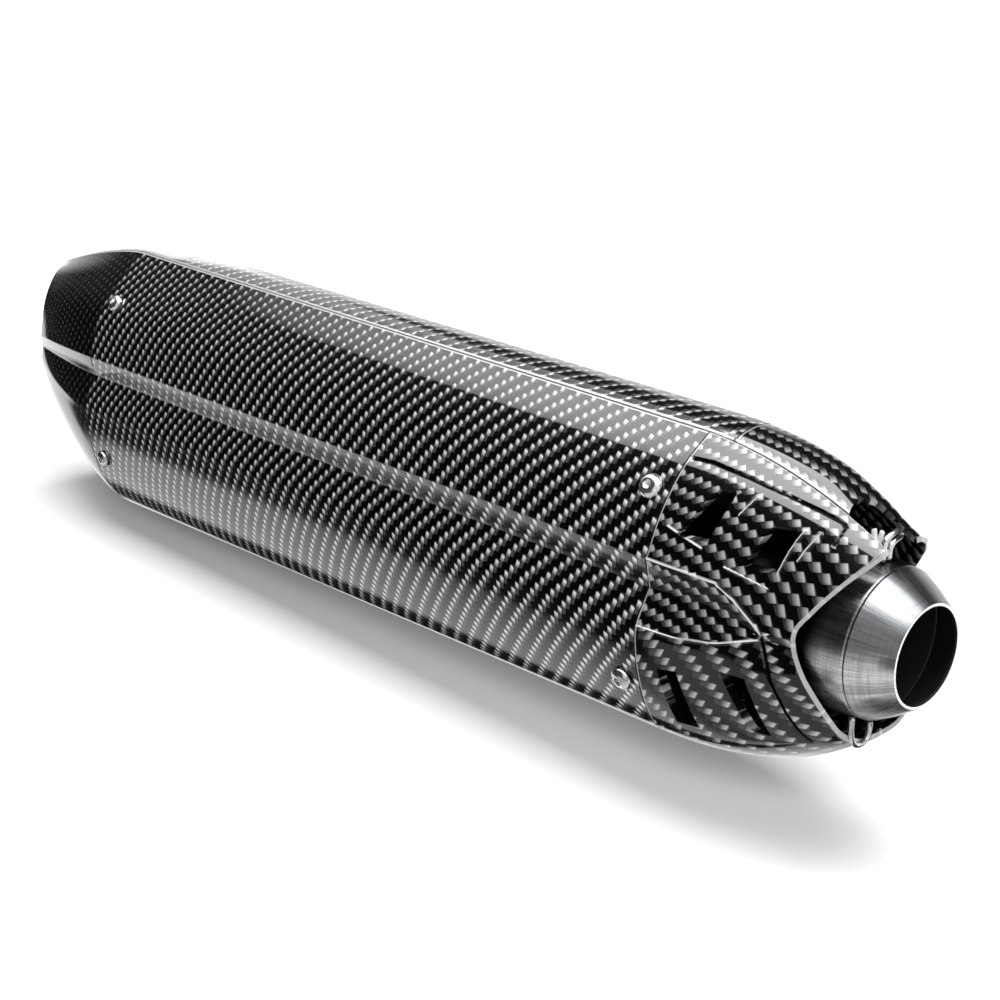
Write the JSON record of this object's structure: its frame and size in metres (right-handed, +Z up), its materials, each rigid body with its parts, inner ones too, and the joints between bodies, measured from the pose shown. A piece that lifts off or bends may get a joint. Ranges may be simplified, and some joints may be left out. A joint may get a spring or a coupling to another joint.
{
  "type": "exhaust muffler",
  "caption": "Motorcycle exhaust muffler: creased carbon covers and slotted inlet cap over a packed steel can, cone inlet, removable silencer insert and a side hanger.",
  "frame": {"origin": "a point in the middle of the flat end ring of the inlet tip, 18.25 mm straight above the pipe's axis and in the muffler's mid plane", "axes": "+X out of the inlet, parallel to the pipe's axis 18.25 mm below it; the muffler runs away along -X; +Z up; -Y is the side away from the hanger"},
  "size_m": [0.632, 0.1219, 0.1571],
  "materials": {
    "polished_steel": "polished",
    "aluminium": "satin",
    "carbon_black": "clear-coated twill weave carbon fibre",
    "glass_wool": "loose fibre mat",
    "rubber": "moulded",
    "dark_steel": "heat darkened",
    "brushed_steel": "brushed along the axis",
    "steel_wool": "knitted wire mat"
  },
  "bodies": {
    "muffler": {"bottom_spring_hook": "polished_steel", "far_inlet_lower_insert": "aluminium", "far_inlet_lower_screw": "polished_steel", "far_inlet_upper_insert": "aluminium", "far_inlet_upper_screw": "polished_steel", "far_outlet_lower_insert": "aluminium", "far_outlet_lower_screw": "polished_steel", "far_outlet_upper_insert": "aluminium", "far_outlet_upper_screw": "polished_steel", "far_side_cover": "carbon_black", "front_support_frame": "aluminium", "glass_wool_packing": "glass_wool", "hanger_bolt": "polished_steel", "hanger_boss": "aluminium", "hanger_bracket": "aluminium", "hanger_collar": "polished_steel", "hanger_grommet": "rubber", "hanger_washer": "polished_steel", "inlet_cap_far": "carbon_black", "inlet_cap_near": "carbon_black", "inlet_end_plate": "dark_steel", "inlet_pipe": "brushed_steel", "inlet_reducer": "brushed_steel", "inner_can": "dark_steel", "insert_seat_ring": "dark_steel", "near_inlet_lower_insert": "aluminium", "near_inlet_lower_screw": "polished_steel", "near_inlet_upper_insert": "aluminium", "near_inlet_upper_screw": "polished_steel", "near_outlet_lower_insert": "aluminium", "near_outlet_lower_screw": "polished_steel", "near_outlet_upper_insert": "aluminium", "near_outlet_upper_screw": "polished_steel", "near_side_cover": "carbon_black", "outlet_cap_far": "carbon_black", "outlet_cap_near": "carbon_black", "outlet_end_plate": "dark_steel", "outlet_face_plate": "dark_steel", "outlet_trim_ring": "polished_steel", "outlet_tube": "brushed_steel", "perforated_core": "dark_steel", "rear_support_frame": "aluminium", "steel_wool_wrap": "steel_wool", "top_spring_hook": "polished_steel", "top_spring_tab": "polished_steel"},
    "insert": {"silencer_insert": "brushed_steel", "insert_end_cap": "brushed_steel"},
    "retaining_screw": {"insert_screw": "polished_steel"}
  },
  "joints": [
    {"name": "insert_withdrawal", "type": "slide", "parent": "muffler", "child": "insert", "axis": [-1, 0, 0], "range_m": [0, 0.15]},
    {"name": "insert_screw_withdrawal", "type": "slide", "parent": "insert", "child": "retaining_screw", "axis": [-1, 0, 0], "range_m": [0, 0.014]}
  ]
}
